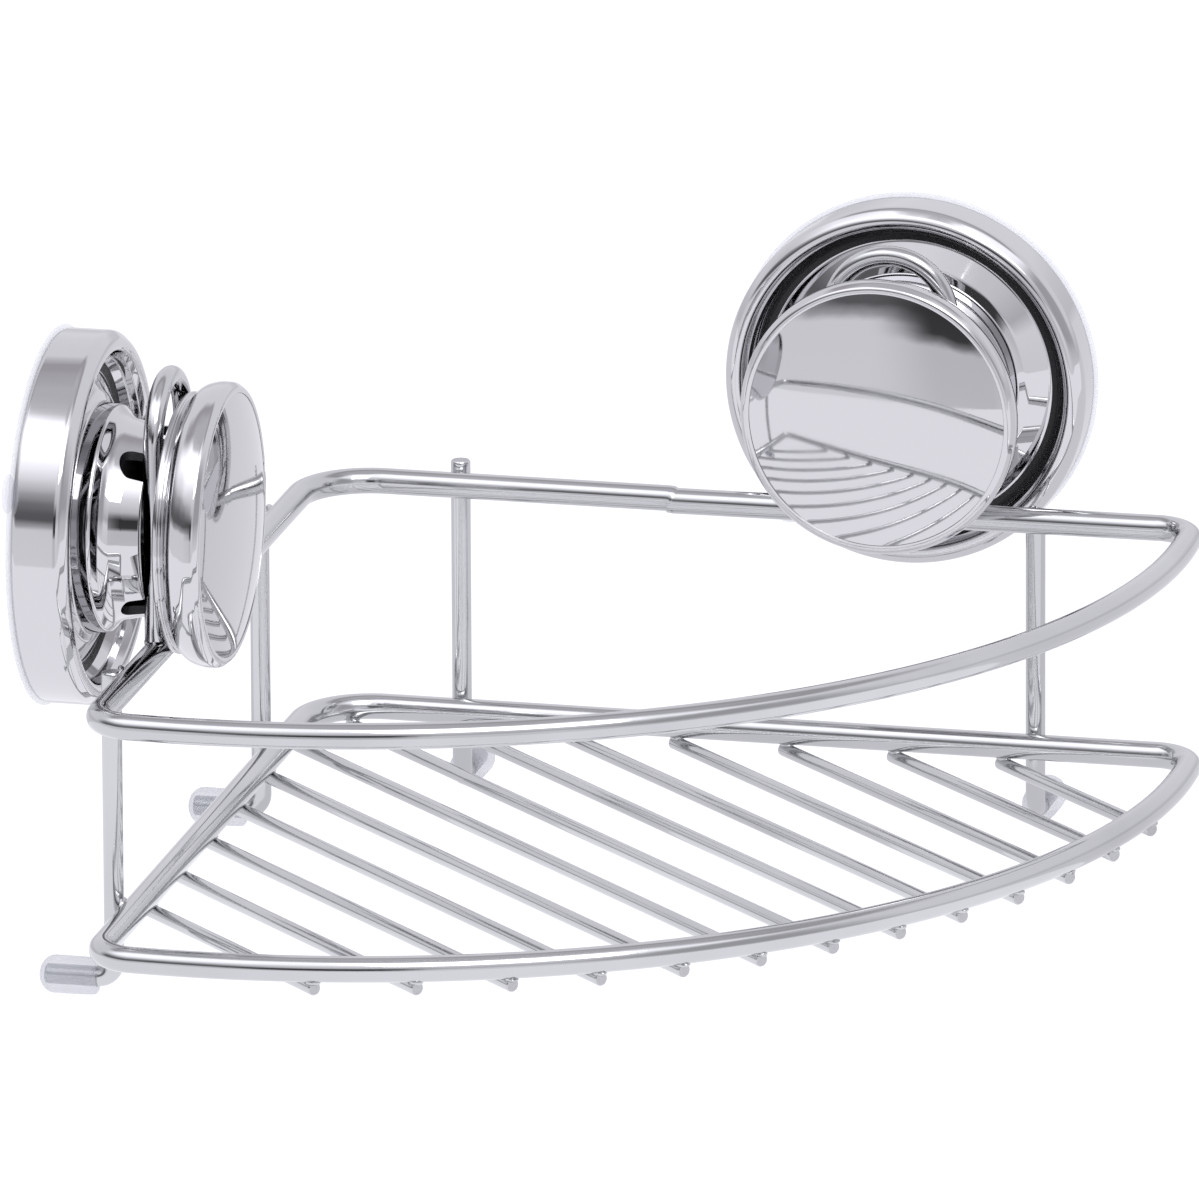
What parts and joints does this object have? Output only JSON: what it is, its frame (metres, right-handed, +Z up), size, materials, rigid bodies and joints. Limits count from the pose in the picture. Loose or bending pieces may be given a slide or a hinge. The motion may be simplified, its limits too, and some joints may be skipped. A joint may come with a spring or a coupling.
{
  "type": "shower caddy",
  "caption": "Quarter-round chrome wire corner basket with soft wall bumpers, hung by upright wire loops from screw-lock suction cups on two walls.",
  "frame": {"origin": "the corner line where the two walls meet, at the height of the bottom rim's centre line", "axes": "+Z up; the left wall is the plane X = 0 and the right wall is the plane Y = 0; the basket lies at +X and -Y"},
  "size_m": [0.2299, 0.2299, 0.1408],
  "materials": {
    "chrome_wire": "bright nickel-chrome plating on steel wire",
    "chrome_plate": "mirror-bright chrome plating on moulded plastic",
    "clear_vinyl": "soft clear vinyl, glossy",
    "black_plastic": "moulded black plastic, satin",
    "zinc_steel": "zinc-plated steel",
    "brass": "turned brass"
  },
  "bodies": {
    "basket": {"top_rim": "chrome_wire", "bottom_rim": "chrome_wire", "floor_wire_1": "chrome_wire", "floor_wire_2": "chrome_wire", "floor_wire_3": "chrome_wire", "floor_wire_4": "chrome_wire", "floor_wire_5": "chrome_wire", "floor_wire_6": "chrome_wire", "floor_wire_7": "chrome_wire", "floor_wire_8": "chrome_wire", "floor_wire_9": "chrome_wire", "floor_wire_10": "chrome_wire", "floor_wire_11": "chrome_wire", "floor_wire_12": "chrome_wire", "floor_wire_13": "chrome_wire", "left_hanger_loop": "chrome_wire", "left_upright_near": "chrome_wire", "left_upright_far": "chrome_wire", "left_bumper_near": "clear_vinyl", "left_bumper_far": "clear_vinyl", "right_hanger_loop": "chrome_wire", "right_upright_near": "chrome_wire", "right_upright_far": "chrome_wire", "right_bumper_near": "clear_vinyl", "right_bumper_far": "clear_vinyl"},
    "left_slider": {"left_clamp_washer": "black_plastic"},
    "left_knob_body": {"left_knob": "chrome_plate", "left_knob_cap": "chrome_plate", "left_thread_insert": "brass"},
    "left_cup": {"left_base_cover": "chrome_plate", "left_guide_plate": "black_plastic", "left_suction_pad": "clear_vinyl"},
    "left_stud_body": {"left_stud": "zinc_steel"},
    "right_slider": {"right_clamp_washer": "black_plastic"},
    "right_knob_body": {"right_knob": "chrome_plate", "right_knob_cap": "chrome_plate", "right_thread_insert": "brass"},
    "right_cup": {"right_base_cover": "chrome_plate", "right_guide_plate": "black_plastic", "right_suction_pad": "clear_vinyl"},
    "right_stud_body": {"right_stud": "zinc_steel"}
  },
  "joints": [
    {"name": "left_cup_height", "type": "slide", "parent": "basket", "child": "left_slider", "axis": [0, 0, 1], "range_m": [-0.0015, 0.004]},
    {"name": "left_knob_turn", "type": "hinge", "parent": "left_slider", "child": "left_knob_body", "pos_m": [0.02, -0.1573, 0.0786], "axis": [-1, 0, 0], "range_deg": [0, 1080]},
    {"name": "left_collar_draw", "type": "slide", "parent": "left_slider", "child": "left_cup", "axis": [1, 0, 0], "range_m": [0, 0.0045]},
    {"name": "left_stud_pull", "type": "slide", "parent": "left_cup", "child": "left_stud_body", "axis": [1, 0, 0], "range_m": [0, 0.003]},
    {"name": "right_cup_height", "type": "slide", "parent": "basket", "child": "right_slider", "axis": [0, 0, 1], "range_m": [-0.0003, 0.004]},
    {"name": "right_knob_turn", "type": "hinge", "parent": "right_slider", "child": "right_knob_body", "pos_m": [0.1573, -0.02, 0.0773], "axis": [0, 1, 0], "range_deg": [0, 1080]},
    {"name": "right_collar_draw", "type": "slide", "parent": "right_slider", "child": "right_cup", "axis": [0, -1, 0], "range_m": [0, 0.0045]},
    {"name": "right_stud_pull", "type": "slide", "parent": "right_cup", "child": "right_stud_body", "axis": [0, -1, 0], "range_m": [0, 0.003]}
  ],
  "couplings": [
    {"joint": "left_collar_draw", "follows": "left_knob_turn", "m_per_rad": 0.00023873},
    {"joint": "left_stud_pull", "follows": "left_knob_turn", "m_per_rad": 0.00015915},
    {"joint": "right_collar_draw", "follows": "right_knob_turn", "m_per_rad": 0.00023873},
    {"joint": "right_stud_pull", "follows": "right_knob_turn", "m_per_rad": 0.00015915}
  ]
}
